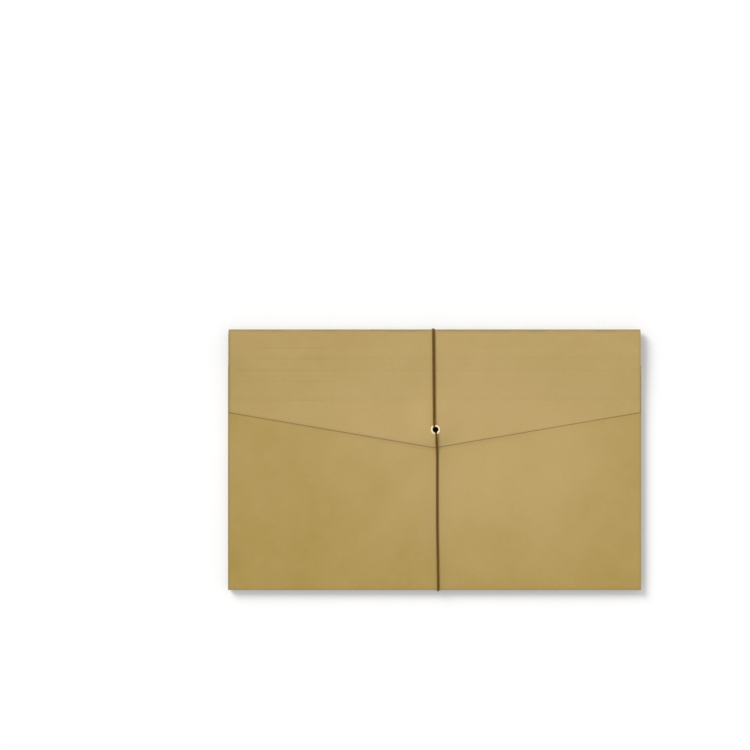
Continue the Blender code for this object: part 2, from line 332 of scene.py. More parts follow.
def tint(red, green, blue):
    """A screen colour as the linear colour that a shader takes."""
    linear = []
    for part in (red, green, blue):
        share = part / 255
        linear.append(share / 12.92 if share < 0.04045 else ((share + 0.055) / 1.055) ** 2.4)
    return (*linear, 1.0)


def kraft(name, warm, olive):
    """Brown kraft board: slow drifts of tone, paler and warmer near the middle, felted fibres, a rim layer
    of wear, painted shade and painted shadow, and faint score lines darkened with painted shade.
    """
    finish = Finish(name)
    where = finish.place()
    middle = {0: finish.place((1, 1.5, 1)), 1: (0.045, 0.03, 0.008)}
    away = finish.node("ShaderNodeVectorMath", {"operation": "DISTANCE"}, middle, output="Value")
    drift = finish.span(finish.noise(where, 13, 2, 0.55), 0.34, 0.66)
    cloud = finish.noise(where, 60, 3, 0.6)
    grain = finish.noise(where, 1300, 4, 0.65)
    along = finish.noise(finish.place((260, 2600, 900), 24), 1, 3, 0.6)
    across = finish.noise(finish.place((2400, 300, 900), -14), 1, 3, 0.6)
    fibre = finish.span(along, 0.60, 0.76) + finish.span(across, 0.60, 0.76)
    fleck = finish.span(finish.noise(where, 520, 1, 0.4), 0.70, 0.78)

    pale = tint(206, 180, 130)
    dark = tint(140, 112, 62)
    wear_and_shade_tint = tint(142, 125, 84)
    # Paler and warmer round a fixed point near the middle of the sheets, more olive towards their edges
    tone = finish.mix(finish.span(away, 0.03, 0.25, 0.85, 0.0) + 0.3 * drift, olive, warm)
    tone = finish.mix(finish.span(cloud, 0.3, 0.7, 0.0, 0.12), tone, pale)
    tone = finish.mix(finish.span(grain, 0.35, 0.75, 0.0, 0.16), tone, dark)
    tone = finish.mix(fibre * 0.10, tone, pale)
    tone = finish.mix(fleck * 0.20, tone, dark)
    # The rim layer: wear and painted shade at the rims, painted shade along the cord, painted shadow below
    # the flap's tip
    wear_and_shade = finish.painted("rim") * finish.span(cloud, 0.32, 0.62, 0.5, 0.8)
    tone = finish.mix(wear_and_shade, tone, wear_and_shade_tint)
    # Painted shade along the score lines
    ruled = finish.painted("score") * finish.span(finish.noise(where, 34, 2), 0.35, 0.65, 0.14, 0.3)
    tone = finish.mix(ruled, tone, dark)

    roughness = 0.70 + 0.16 * grain + 0.05 * fibre
    felt = finish.bump(grain * 0.6 + fibre * 0.4, 0.00007, 0.35)
    return finish.feed(Base_Color=tone, Roughness=roughness, Normal=felt, Specular_IOR_Level=0.28)


def braided_elastic(name):
    """Brown braided elastic: raised threads over darker gaps, a little fuzzy, with painted shade where it
    goes down into the eyelet.
    """
    finish = Finish(name)
    where = finish.place()
    thread = finish.painted("thread")
    fuzz = finish.noise(where, 2600, 3, 0.6)
    worn = finish.noise(where, 90, 2)
    tone = finish.mix(finish.span(thread, 0.15, 0.85), tint(58, 35, 2), tint(114, 83, 20))
    tone = finish.mix(finish.span(worn, 0.35, 0.7, 0.0, 0.35), tone, tint(94, 63, 8))
    tone = finish.mix(finish.span(fuzz, 0.55, 0.8, 0.0, 0.3), tone, tint(138, 105, 36))
    # Painted shade: the cord goes near black where it goes down into the eyelet's hole
    sunk_shade = finish.painted("sunk_shade")
    tone = finish.mix(sunk_shade, tone, tint(12, 6, 1))
    felt = finish.bump(fuzz, 0.00006, 0.4)
    roughness = 0.66 + 0.24 * fuzz + 0.3 * sunk_shade
    return finish.feed(Base_Color=tone, Roughness=roughness, Normal=felt, Specular_IOR_Level=0.2)


def bright_nickel(name, colour, smooth):
    """Bright pressed metal with fine handling marks and a slightly dulled film, and painted shade in the
    eyelet's bore and on the crimp.
    """
    finish = Finish(name)
    film = finish.noise(finish.place(), 420, 3, 0.6)
    marks = finish.noise(finish.place((900, 9000, 900), 35), 1, 2, 0.5)
    tone = finish.mix(finish.span(film, 0.35, 0.7, 0.0, 0.4), colour, tint(212, 194, 158))
    # Painted shade in the eyelet's bore and over the crimp
    sunk_shade = finish.painted("sunk_shade")
    tone = finish.mix(sunk_shade, tone, tint(14, 10, 6))
    roughness = smooth + 0.12 * film + 0.06 * marks + 0.5 * sunk_shade
    felt = finish.bump(marks, 0.00001, 0.2)
    return finish.feed(Base_Color=tone, Metallic=1.0, Roughness=roughness, Normal=felt)


def white_floor(name):
    """Pale floor that keeps the shadow; the camera and shiny pieces see it as white."""
    finish = Finish(name)
    speck = finish.noise(finish.place(), 40, 2)
    finish.feed(Roughness=0.9, Specular_IOR_Level=0.0)
    dark, pale = ((tone, tone, tone, 1) for tone in (FLOOR_DARK, FLOOR_PALE))
    albedo = finish.mix(finish.span(speck, 0.3, 0.7), dark, pale)
    finish.feed(Base_Color=albedo)
    seen = light_path(finish)
    glow = finish.node("ShaderNodeEmission", {}, {"Color": (1, 1, 1, 1), "Strength": FLOOR_FILL})
    none = finish.node("ShaderNodeEmission", {}, {"Color": (0, 0, 0, 1), "Strength": 0.0})
    fill = finish.node("ShaderNodeMixShader", {}, {0: seen, 1: none, 2: glow})
    both = finish.node("ShaderNodeAddShader", {}, {0: Shade(finish, finish.shader.outputs[0]), 1: fill})
    finish.plug(finish.output.inputs[0], both)
    return finish.material


def light_path(wiring):
    """One where the camera, a reflection or clear material looks, and nought for light itself."""
    camera = wiring.node("ShaderNodeLightPath", output="Is Camera Ray")
    glossy = wiring.node("ShaderNodeLightPath", output="Is Glossy Ray")
    through = wiring.node("ShaderNodeLightPath", output="Is Transmission Ray")
    return wiring.span(camera + glossy + through, 0, 1)


def piece(name, bm, finish, nodes, smooth=SMOOTH_CARD):
    """Turns a bmesh into a named object in place, with its finish and the solids it stands for."""
    mesh = bpy.data.meshes.new(name)
    bm.to_mesh(mesh)
    bm.free()
    mesh.materials.append(finish)
    mesh.shade_smooth()
    mesh.set_sharp_from_angle(angle=math.radians(smooth))
    made = bpy.data.objects.new(name, mesh)
    bpy.context.scene.collection.objects.link(made)
    if nodes:
        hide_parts(*nodes)
    return made


def everything(bm):
    return bm.verts[:] + bm.edges[:] + bm.faces[:]


def trim(bm, point, outward):
    """Cuts away what lies beyond a line across the sheet."""
    bmesh.ops.bisect_plane(
        bm, geom=everything(bm), dist=MERGE, plane_co=(*point, 0), plane_no=(*outward, 0), clear_outer=True
    )


def rule(bm, point, across):
    """Adds a row of points along a line across the sheet."""
    bmesh.ops.bisect_plane(bm, geom=everything(bm), dist=MERGE, plane_co=(*point, 0), plane_no=(*across, 0))


def wave(x, y):
    """The slow waviness of a big flat sheet, from -1 to 1."""
    slow = math.sin(31 * x + 1.1) * math.cos(27 * y + 0.4)
    return 0.6 * slow + 0.4 * math.sin(64 * x - 47 * y + 0.7)


def inset(point, side):
    """How far a point lies inside one side of its sheet."""
    start, outward = side[:2]
    return max(0.0, (Vector(start) - point.xy).dot(Vector(outward)))


def lies_on(edge, side):
    return all(inset(vert.co, side) < ON_SIDE for vert in edge.verts)


def card(sides, low, scores=(), rows=(), droop=RIM_DROOP, sag=None):
    """A sheet of board between straight sides, lying at a height, with scored lines and a rounded rim."""
    xs = [start[0] for start, outward, worn in sides]
    ys = [start[1] for start, outward, worn in sides]
    size = Vector((max(xs) - min(xs), max(ys) - min(ys), 1))
    centre = Vector(((max(xs) + min(xs)) / 2, (max(ys) + min(ys)) / 2, 0))
    bm = bmesh.new()
    columns, lines = (max(2, round(length / GRID)) for length in size.xy)
    bmesh.ops.create_grid(bm, x_segments=columns, y_segments=lines, size=0.5)
    bmesh.ops.scale(bm, vec=size, verts=bm.verts)
    bmesh.ops.translate(bm, vec=centre, verts=bm.verts)
    for start, outward, worn in sides:
        trim(bm, start, outward)
    for start, outward, worn in sides:
        for row in RIM_ROWS:
            rule(bm, Vector(start) - row * Vector(outward), outward)
    for y in rows:
        rule(bm, (0, y), (0, 1))
    for y, start, end in scores:
        for shift in (-SCORE_WIDTH / 2, 0, SCORE_WIDTH / 2):
            rule(bm, (0, y + shift), (0, 1))

    grown = bmesh.ops.extrude_face_region(bm, geom=bm.faces[:])
    upper = [part for part in grown["geom"] if isinstance(part, bmesh.types.BMVert)]
    bmesh.ops.translate(bm, vec=(0, 0, CARD), verts=upper)
    bmesh.ops.recalc_face_normals(bm, faces=bm.faces)
    seams = [side for side in sides if not side[2]]
    corners = [edge for edge in bm.edges if edge.is_manifold and edge.calc_face_angle() > CORNER_ANGLE]
    corners = [edge for edge in corners if not any(lies_on(edge, side) for side in seams)]
    bmesh.ops.bevel(
        bm, geom=corners, offset=RIM_ROUND, segments=2, profile=0.5, affect="EDGES", material=-1,
        clamp_overlap=True,
    )

    rim = bm.verts.layers.float.new("rim")
    score = bm.verts.layers.float.new("score")
    for vert in bm.verts:
        deep = min(inset(vert.co, side) for side in sides)
        near = max(0.0, max(1 - inset(vert.co, side) / RIM_WIDTH if side[2] else 0.0 for side in sides))
        # The rim layer: wear and painted shade, by each side's weight, fading inward over the rim's width
        vert[rim] = max(0.0, max(side[2] * (1 - inset(vert.co, side) / RIM_WIDTH) for side in sides))
        for y, start, end in scores:
            # Painted shade along each score groove, which is also pressed in
            if abs(vert.co.y - y) < ON_LINE and vert.co.z > CARD / 2:
                clear = min(vert.co.x - start, end - vert.co.x)
                vert[score] = SCORE_FAINT + (1 - SCORE_FAINT) * eased(clear / SCORE_FADE + 0.5)
                vert.co.z -= SCORE_DEPTH
        calm = min(1.0, deep / CALM_REACH)
        vert.co.z += low + WAVE * calm * wave(vert.co.x, vert.co.y) - droop * near * near
        if sag:
            vert.co.z -= sag(vert.co.x, vert.co.y)
    return bm


def eased(share):
    """A smooth rise from nought to one."""
    share = min(1.0, max(0.0, share))
    return share * share * (3 - 2 * share)


def flap_sag(x, y):
    """How far the flap sinks towards the front sheet; round the eyelet, washer and crimp hold it up."""
    below = max(0.0, EYELET.y - y)
    aside = math.hypot(x - EYELET.x, below)
    reach = SAG_BESIDE + (SAG_BELOW - SAG_BESIDE) * eased(below / SAG_BELOW)
    held = 1 - eased((aside - SAG_CLEAR) / (reach - SAG_CLEAR))
    held *= eased((CREASE.y - y) / (CREASE.y - EYELET.y - SAG_CLEAR))
    full = FLAP_SAG + SAG_RIGHT * eased(x / SAG_RIGHT_X)
    return full * (1 - held) * eased((SAG_TOP_Y - y) / (SAG_TOP_Y - SAG_FULL_Y))


def sides_of(low, high, top_wear_and_shade):
    """The four sides of an upright rectangle: each a corner on it, the way out and how much wear and painted
    shade darken its rim.
    """
    corner, far = (low.x, low.y), (high.x, high.y)
    left, right = (corner, (-1, 0), LEFT_WEAR_AND_SHADE), (far, (1, 0), RIGHT_WEAR_AND_SHADE)
    return [left, right, (corner, (0, -1), BOTTOM_WEAR_AND_SHADE), (far, (0, 1), top_wear_and_shade)]


def flap_sides():
    """The flap's straight top and sides, the two slopes of its V, and the short turns of its rounded tip."""
    reach = face_high.x
    slope = math.atan2(FLAP_SIDE_Y - FLAP_APEX_Y, reach)
    top = ((reach, FOLD_AXIS.y), (0, 1), 0)
    left = ((-reach, FLAP_APEX_Y), (-1, 0), LEFT_WEAR_AND_SHADE)
    right = ((reach, FOLD_AXIS.y), (1, 0), RIGHT_WEAR_AND_SHADE)
    sides = [top, left, right]
    centre = Vector((0, FLAP_APEX_Y + FLAP_TIP_RADIUS / math.cos(slope)))
    for share in FLAP_TIP_TURNS:
        out = Vector((math.sin(share * slope), -math.cos(share * slope)))
        # Each slope of the V gets its own weight of wear and painted shade
        worn = FLAP_LEFT_WEAR_AND_SHADE if share < 0 else FLAP_RIGHT_WEAR_AND_SHADE
        sides.append((tuple(centre + FLAP_TIP_RADIUS * out), tuple(out), worn))
    return sides


def punched(made, centre, radius):
    """Punches a round hole through a sheet."""
    bm = bmesh.new()
    around = Matrix.Translation(centre)
    bmesh.ops.create_cone(
        bm, cap_ends=True, segments=PUNCH_STEPS, radius1=radius, radius2=radius, depth=PUNCH_DEPTH,
        matrix=around,
    )
    mesh = bpy.data.meshes.new("punch")
    bm.to_mesh(mesh)
    bm.free()
    punch = bpy.data.objects.new("punch", mesh)
    bpy.context.scene.collection.objects.link(punch)
    hole = made.modifiers.new("hole", "BOOLEAN")
    hole.operation = "DIFFERENCE"
    hole.solver = "EXACT"
    hole.object = punch
    depsgraph = bpy.context.evaluated_depsgraph_get()
    cut = bpy.data.meshes.new_from_object(made.evaluated_get(depsgraph))
    made.modifiers.clear()
    made.data = cut
    cut.name = made.name
    bpy.data.objects.remove(punch)
    bpy.data.meshes.remove(mesh)
    return made


def arc(centre, radius, start, end, steps):
    """Points round part of a circle, from one angle in degrees to another."""
    turns = [math.radians(start + (end - start) * i / steps) for i in range(steps + 1)]
    return [(centre[0] + radius * math.cos(t), centre[1] + radius * math.sin(t)) for t in turns]


def panels(board):
    """The back and the front sheet; the front's rim layer also gets painted shade along the cord and a
    painted shadow below the flap's tip.
    """
    back_far = Vector((back_high.x, FOLD_AXIS.y, back_high.z))
    back = card(sides_of(back_low, back_far, 0), back_low.z, droop=0)
    back = piece("back_sheet", back, board, ["back_panel"])
    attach(back, "back")
    front = card(sides_of(front_low, front_high, FRONT_TOP_WEAR_AND_SHADE), front_low.z)
    slope = (FLAP_SIDE_Y - FLAP_APEX_Y) / face_high.x
    # Rows of points for the painted shadow below the flap's V edge
    for drop in TIP_SHADOW_ROWS:
        for lean in (-slope, slope):
            rule(front, (0, FLAP_APEX_Y - drop), Vector((lean, 1)).normalized())
    rim = front.verts.layers.float["rim"]
    for vert in front.verts:
        # Painted shade in a band along the cord
        beside = abs(vert.co.x - run_x(vert.co.y))
        vert[rim] += CORD_SHADE * eased(1 - beside / CORD_SHADE_REACH)
        # Painted shadow just below the flap's V edge, strongest round the tip
        from_edge = abs(FLAP_APEX_Y + slope * abs(vert.co.x) - TIP_SHADOW_DROP - vert.co.y)
        from_tip = eased((TIP_SHADOW_END - abs(vert.co.x)) / (TIP_SHADOW_END - TIP_SHADOW_FULL))
        vert[rim] += TIP_SHADOW * from_tip * eased(1 - from_edge / TIP_SHADOW_WIDTH)
    front = piece("front_sheet", front, board, ["front_panel"])
    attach(front, "front")


def fold_strip(start, end, steps):
    """Part of the board's half turn at the top, between two angles about the fold, a little slack below."""
    half = face_high.x
    bm = bmesh.new()
    ends = [(-half, back_low.z), (half, back_low.z), (half, back_high.z), (-half, back_high.z)]
    section = bm.faces.new([bm.verts.new((x, FOLD_AXIS.y, z)) for x, z in ends])
    strip = [section, *section.edges, *section.verts]
    first = Matrix.Rotation(math.radians(start + 90), 3, "X")
    bmesh.ops.rotate(bm, cent=FOLD_AXIS, matrix=first, verts=section.verts)
    bmesh.ops.spin(
        bm, geom=strip, cent=FOLD_AXIS, axis=(1, 0, 0), dvec=(0, 0, 0),
        angle=math.radians(end - start), steps=steps, use_merge=False,
    )
    bmesh.ops.recalc_face_normals(bm, faces=bm.faces)
    for row in RIM_ROWS:
        rule(bm, (row - half, 0), (1, 0))
        rule(bm, (half - row, 0), (1, 0))
    rim = bm.verts.layers.float.new("rim")
    for vert in bm.verts:
        away = vert.co - FOLD_AXIS
        worn = LEFT_WEAR_AND_SHADE if away.x < 0 else RIGHT_WEAR_AND_SHADE
        near = max(0.0, 1 - (half - abs(away.x)) / RIM_WIDTH)
        # Wear and painted shade darken the fold towards its outermost edge, and the rims at its two ends
        vert[rim] = max(FOLD_WEAR_AND_SHADE * away.y / (fold_high.y - FOLD_AXIS.y), worn * near)
        turn = math.degrees(math.atan2(away.z, away.y))
        vert.co.y += FOLD_SLACK * eased(1 - abs(turn + FOLD_SLACK_TURN) / FOLD_SLACK_SPAN)
    return bm


def top_fold(board):
    """The board turning half round at the top, from the back sheet to the flap."""
    radius = FOLD_AXIS.z - (back_low.z + back_high.z) / 2
    seam_z = FOLD_AXIS.z + radius * math.sin(math.radians(FOLD_SEAM))
    low, seam, high = ((0, FOLD_AXIS.y, z) for z in (FOLD_AXIS.z - radius, seam_z, FOLD_AXIS.z + radius))
    strip = fold_strip(-90, FOLD_SEAM, FOLD_STEPS)
    made = piece("top_fold", strip, board, ["flap_fold"])
    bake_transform(made, "back", "flap_fold", low, seam)
    strip = fold_strip(FOLD_SEAM, 90, FOLD_UPPER_STEPS)
    made = piece("top_fold_upper", strip, board, [])
    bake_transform(made, "flap_fold", "flap_spine", seam, high)


def flap(board):
    """The flap as one scored sheet that bends at its crease."""
    scores = [(fold_high.y - drop, start, end) for drop, start, end in SCORES]
    scores.append((CREASE.y, *CREASE_SCORE))
    rows = [CREASE.y + BEND_HALF * share for share in BEND_ROWS]
    bm = card(flap_sides(), face_low.z, scores, rows, droop=FLAP_DROOP, sag=flap_sag)
    made = piece("flap_sheet", bm, board, ["flap_spine", "flap_face"])
    punched(made, EYELET, PUNCH_RADIUS)
    start = (0, CREASE.y + BEND_HALF, face_low.z)
    end = (0, CREASE.y - BEND_HALF, face_low.z)
    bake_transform(made, "flap_spine", "flap_face", start, end)


def leaf(side, route):
    """One folded strip of a gusset: a line of depth and height swept along its side, with mitred corners."""
    bm = bmesh.new()
    chain = [bm.verts.new((depth, 0, height)) for depth, height in route]
    line = [bm.edges.new(pair) for pair in zip(chain, chain[1:])]
    low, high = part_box(f"{side}_pleat_1")
    if side == "bottom":
        start, end = low.x - LEAF_SPARE, high.x + LEAF_SPARE
    else:
        start, end = low.y - LEAF_SPARE, high.y
    bmesh.ops.translate(bm, vec=(0, start, 0), verts=chain)
    grown = bmesh.ops.extrude_edge_only(bm, edges=line)
    far = [part for part in grown["geom"] if isinstance(part, bmesh.types.BMVert)]
    bmesh.ops.translate(bm, vec=(0, end - start, 0), verts=far)
    lean = math.cos(math.radians(LEAF_TILT))
    corner = low.x if side == "bottom" else low.y
    trim(bm, (0, corner - MITRE_LAP), Vector((lean, -1)).normalized())
    if side == "bottom":
        trim(bm, (0, high.x + MITRE_LAP), Vector((lean, 1)).normalized())
    outer = {"left": low.x, "right": high.x, "bottom": low.y}[side]
    if side == "right":
        bmesh.ops.scale(bm, vec=(-1, 1, 1), verts=bm.verts)
    if side == "bottom":
        swap = Matrix(((0, 1, 0, 0), (1, 0, 0, 0), (0, 0, 1, 0), (0, 0, 0, 1)))
        bmesh.ops.transform(bm, matrix=swap, verts=bm.verts)
        bmesh.ops.translate(bm, vec=(0, outer, 0), verts=bm.verts)
    else:
        bmesh.ops.translate(bm, vec=(outer, 0, 0), verts=bm.verts)
    bmesh.ops.recalc_face_normals(bm, faces=bm.faces)
    return bm


def middle_of(node):
    low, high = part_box(node)
    return (low.z + high.z) / 2


def breadth(side, node):
    """How far a gusset's solid reaches into the envelope from its side."""
    low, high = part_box(node)
    return high.y - low.y if side == "bottom" else high.x - low.x


def pleat_bend(outside, depth, middle, radius, start, end):
    """A pleat's bend: round at its inner fold, an oval flush with the sheets' sides at its outer one."""
    place, flat = (LEAF_INSET, BEND_FLAT) if outside else (depth, 1)
    bend = arc((0, middle), radius, start, end, PLEAT_STEPS)
    return [(place + flat * across, height) for across, height in bend]


def gusset(side, board):
    """One side's glue tabs and pleats, each strip curling round its folds into the next."""
    pleats = [f"{side}_pleat_{number}" for number in PLEATS]
    names = [f"{side}_back_tab", *pleats, f"{side}_front_tab"]
    bodies = ["back", *pleats, "front"]
    heights = [middle_of(name) for name in names]
    depth = breadth(side, pleats[0])
    tab = breadth(side, names[0])
    for order, (name, body) in enumerate(zip(names, bodies)):
        height = heights[order]
        route = []
        outer_below = order % 2 == 1
        if order == 0:
            route.append((tab, height))
        else:
            radius = (height - heights[order - 1]) / 2
            start = 180 + BEND_OVERLAP if outer_below else -BEND_OVERLAP
            route += pleat_bend(outer_below, depth, height - radius, radius, start, 90)
        if order == len(names) - 1:
            route.append((tab, height))
        else:
            radius = (heights[order + 1] - height) / 2
            end = BEND_OVERLAP if outer_below else 180 - BEND_OVERLAP
            start = -90 if outer_below else 270
            route += pleat_bend(not outer_below, depth, height + radius, radius - NEST, start, end)
        made = piece(f"{side}_leaf_{order}", leaf(side, route), board, [name], SMOOTH_LEAF)
        thick = made.modifiers.new("thickness", "SOLIDIFY")
        thick.thickness = LEAF
        thick.offset = 0
        thick.use_even_offset = True
        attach(made, body)


def turned(profile, centre):
    """A closed profile of radius and height turned round an upright axis."""
    bm = bmesh.new()
    chain = [bm.verts.new((centre.x + radius, centre.y, height)) for radius, height in profile]
    for pair in zip(chain, [*chain[1:], chain[0]]):
        bm.edges.new(pair)
    bmesh.ops.spin(
        bm, geom=bm.verts[:] + bm.edges[:], cent=centre, axis=(0, 0, 1), dvec=(0, 0, 0),
        angle=math.tau, steps=RING_STEPS, use_merge=True,
    )
    bmesh.ops.remove_doubles(bm, verts=bm.verts, dist=MERGE)
    bmesh.ops.recalc_face_normals(bm, faces=bm.faces)
    return bm


def eyelet(metal):
    """The rolled eyelet, the washer clinched behind the flap, and the crimp on the cord's two ends."""
    top = eyelet_high.z + RING_PROUD
    seat = face_high.z
    low = washer_low.z
    bore, lip = RING_BORE, RING_LIP
    rim = (eyelet_high.x - eyelet_low.x) / 2 - RING_INSET
    barrel = bore + RING_WALL
    profile = [(bore, low + 0.0002), (bore, top - lip)]
    profile += arc((bore + lip, top - lip), lip, 180, 90, BEAD_STEPS)[1:]
    profile += [(bore + 0.0010, top - 0.00002), (rim - 0.0006, top - 0.00016)]
    profile += arc((rim - RING_BEAD, seat + BEAD_RISE), RING_BEAD, 75, -90, BEAD_STEPS)
    profile += [(barrel + 0.0002, seat + 0.00004), (barrel, seat - 0.0002), (barrel, low + 0.0003)]
    profile += [(barrel + 0.0008, low - 0.00006), (barrel + 0.0004, low - 0.00022)]
    bm = turned(profile, EYELET)
    # Painted shade down the bore
    sunk_shade = bm.verts.layers.float.new("sunk_shade")
    for vert in bm.verts:
        vert[sunk_shade] = eased((bore + BORE_DARK - (vert.co.xy - EYELET.xy).length) / BORE_FADE)
    ring = piece("eyelet_ring", bm, metal, ["eyelet"], SMOOTH_METAL)
    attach(ring, "flap_face")

    hole = barrel + 0.0003
    outer = (washer_high.x - washer_low.x) / 2
    profile = [(hole, low + 0.0001), (hole + 0.0005, low), (outer - 0.0008, low + 0.00004)]
    profile += arc((outer - WASHER_BEAD, low + BEAD_RISE), WASHER_BEAD, -90, 90, BEAD_STEPS)
    profile += [(hole, low + 0.0004)]
    bm = turned(profile, EYELET)
    washer = piece("eyelet_back_washer", bm, metal, ["eyelet_washer"], SMOOTH_METAL)
    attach(washer, "flap_face")

    bm = bmesh.new()
    bmesh.ops.create_cube(bm, size=1)
    lengthwise = [edge for edge in bm.edges if abs((edge.verts[0].co - edge.verts[1].co).y) > 0.5]
    bmesh.ops.subdivide_edges(bm, edges=lengthwise, cuts=CRIMP_CUTS, use_grid_fill=True)
    for vert in bm.verts:
        pinch = 0.5 + 0.5 * math.cos(math.tau * CRIMP_NECKS * vert.co.y)
        vert.co.x *= 1 - PINCH_WIDE + PINCH_WIDE * pinch
        vert.co.z *= 1 - PINCH_TALL + PINCH_TALL * pinch
    bmesh.ops.scale(bm, vec=crimp_high - crimp_low, verts=bm.verts)
    long_edges = [edge for edge in bm.edges if edge.calc_face_angle() > CORNER_ANGLE]
    bmesh.ops.bevel(
        bm, geom=long_edges, offset=CRIMP_ROUND, segments=3, profile=0.5, affect="EDGES", material=-1,
        clamp_overlap=True,
    )
    bmesh.ops.translate(bm, vec=(crimp_low + crimp_high) / 2, verts=bm.verts)
    # Painted shade darkens the crimp from just above its lowest edge up
    sunk_shade = bm.verts.layers.float.new("sunk_shade")
    for vert in bm.verts:
        vert[sunk_shade] = eased((vert.co.z - crimp_low.z) / CRIMP_FADE)
    clip = piece("cord_crimp_clip", bm, metal, ["cord_crimp"], SMOOTH_METAL)
    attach(clip, "flap_face")


def stations(route, step):
    """Even steps along a line; after its place a point says how pressed and how thin the cord is."""
    points = [Vector((*point, 0.0, 0.0)[:5]) for point in route]
    lengths = [(Vector(b[:3]) - Vector(a[:3])).length for a, b in zip(points, points[1:])]
    total = sum(lengths)
    count = max(4, round(total / step))
    walked, part = 0.0, 0
    found = []
    for i in range(count + 1):
        goal = total * i / count
        while part < len(lengths) - 1 and walked + lengths[part] < goal:
            walked += lengths[part]
            part += 1
        share = (goal - walked) / lengths[part]
        found.append(points[part].lerp(points[part + 1], min(1.0, share)))
    return found, total


def braid(route):
    """A braided cord along a line of points: a ruled sheet rolled round the line, its threads raised."""
    places, total = stations(route, BRAID_STEP)
    count = len(places) - 1
    frames = []
    for i in range(count + 1):
        ahead = Vector((places[min(count, i + 1)] - places[max(0, i - 1)])[:3]).normalized()
        right = Vector((1, 0, 0))
        right = (right - ahead * right.dot(ahead)).normalized()
        frames.append((Vector(places[i][:3]), right, ahead.cross(right), *places[i][3:]))
    bm = bmesh.new()
    bmesh.ops.create_grid(bm, x_segments=BRAID_ROUND, y_segments=count, size=0.5)
    thread = bm.verts.layers.float.new("thread")
    sunk_shade = bm.verts.layers.float.new("sunk_shade")
    for vert in bm.verts:
        i = round((vert.co.y + 0.5) * count)
        around = math.tau * round((vert.co.x + 0.5) * BRAID_ROUND) / BRAID_ROUND
        along = math.tau * total * i / count / BRAID_PITCH
        over = BRAID_OVER * math.cos(BRAID_STARTS * around) * math.cos(along)
        leaning = math.cos(BRAID_STARTS * around + along) + over
        crossing = math.cos(BRAID_STARTS * around - along) - over
        weave = max(leaning, crossing) / (1 + BRAID_OVER)
        centre, right, up, press, thin = frames[i]
        reach = CORD_RADIUS * (1 - thin) * (1 - BRAID_HEIGHT * (1 - weave))
        flat = LYING + (1 - LYING) * press
        wide = (1 + FLAT_WIDER * flat) * math.cos(around)
        tall = (1 - FLAT_LOWER * flat) * math.sin(around)
        vert.co = centre + reach * (wide * right + tall * up)
        vert[thread] = 0.5 + 0.5 * weave
        # Painted shade on the cord where it goes into the eyelet's hole
        vert[sunk_shade] = eased((HOLE_DARK - (vert.co.xy - EYELET.xy).length) / HOLE_FADE)
    bmesh.ops.remove_doubles(bm, verts=bm.verts, dist=BRAID_MERGE)
    open_ends = [edge for edge in bm.edges if edge.is_boundary]
    bmesh.ops.holes_fill(bm, edges=open_ends, sides=0)
    bmesh.ops.recalc_face_normals(bm, faces=bm.faces)
    return bm


def strand_x(y):
    """The flap strand's sideways place: it leans a little from the top fold to its end in the eyelet."""
    share = (fold_high.y - y) / (fold_high.y - EYELET.y)
    return TOP_X + (EYELET.x + UPPER_END.x - TOP_X) * share


def run_x(y):
    """The front strand's sideways place: straight where one length slides in another, leaning elsewhere."""
    from_eyelet = EYELET.x + LOWER_END.x
    if y > LANDING_Y:
        return from_eyelet + (RUN_X - from_eyelet) * (EYELET.y - y) / (EYELET.y - LANDING_Y)
    share = max(0.0, STUB_END_Y - y) / (STUB_END_Y - front_low.y)
    return RUN_X + (BOTTOM_X - RUN_X) * share


def back_x(y):
    """The back strand's sideways place: straight along the link, then leaning as far as the crease."""
    share = min(1.0, max(0.0, (y - LINK_TOP) / (CREASE.y - LINK_TOP)))
    return BOTTOM_X + (TOP_X + BACK_SHIFT - BOTTOM_X) * share


def dive(centre, sign, height, bottom, thin=0.0):
    """A cord end coming in level over the eyelet and turning down into it."""
    turn_y = centre.y + sign * DIVE_RADIUS
    start, end = (90, 180) if sign > 0 else (90, 0)
    bend = arc((turn_y, height - DIVE_RADIUS), DIVE_RADIUS, start, end, DIVE_STEPS)
    route = []
    for step, (y, z) in enumerate(bend):
        route.append((centre.x, y, z, 0, thin + (END_THIN - thin) * step / DIVE_STEPS))
    return route + [(centre.x, centre.y, bottom, 0, END_THIN)]


def round_fold(start, end, low, high, side):
    """The cord's turn about the top fold from a low to a high place, pressed flat at the edge."""
    route = []
    for step in range(WRAP_STEPS + 1):
        degrees = start + (end - start) * step / WRAP_STEPS
        turn = math.radians(degrees)
        press = max(0.0, math.cos(turn))
        radius = FOLD_AXIS.z - low + (low + high - 2 * FOLD_AXIS.z) * eased((degrees + 90) / 180)
        radius += (FOLD_WRAP - radius) * press
        y = FOLD_AXIS.y + radius * math.cos(turn)
        z = FOLD_AXIS.z + radius * math.sin(turn)
        thin = INNER_THIN * eased((degrees - THIN_START) / THIN_SPAN) if end < 90 else 0.0
        route.append((side(degrees), y, z, press, thin))
    return route


def hem_turn(edge_z, start, middle, press=0.0, thin=0.0):
    """The cord's turn over one bottom edge, from a height to the middle of the envelope's thickness."""
    bend = CORD_RADIUS + HEM_CLEAR
    route = [(BOTTOM_X, front_low.y + NEST_LAP, start, press, thin + NEST_THIN)]
    for step in range(HEM_STEPS + 1):
        share = step / HEM_STEPS
        turn = math.radians(90 + 90 * share)
        radius = bend - PRESSED * eased(share)
        y = front_low.y + radius * math.cos(turn)
        z = edge_z + (start - edge_z) * math.sin(turn)
        flatter = press + (1 - press) * eased(share)
        route.append((BOTTOM_X, y, z, flatter, thin + (FRONT_THIN - thin) * share))
    route.append((BOTTOM_X, front_low.y - bend + PRESSED, middle, 1.0, FRONT_THIN))
    return route


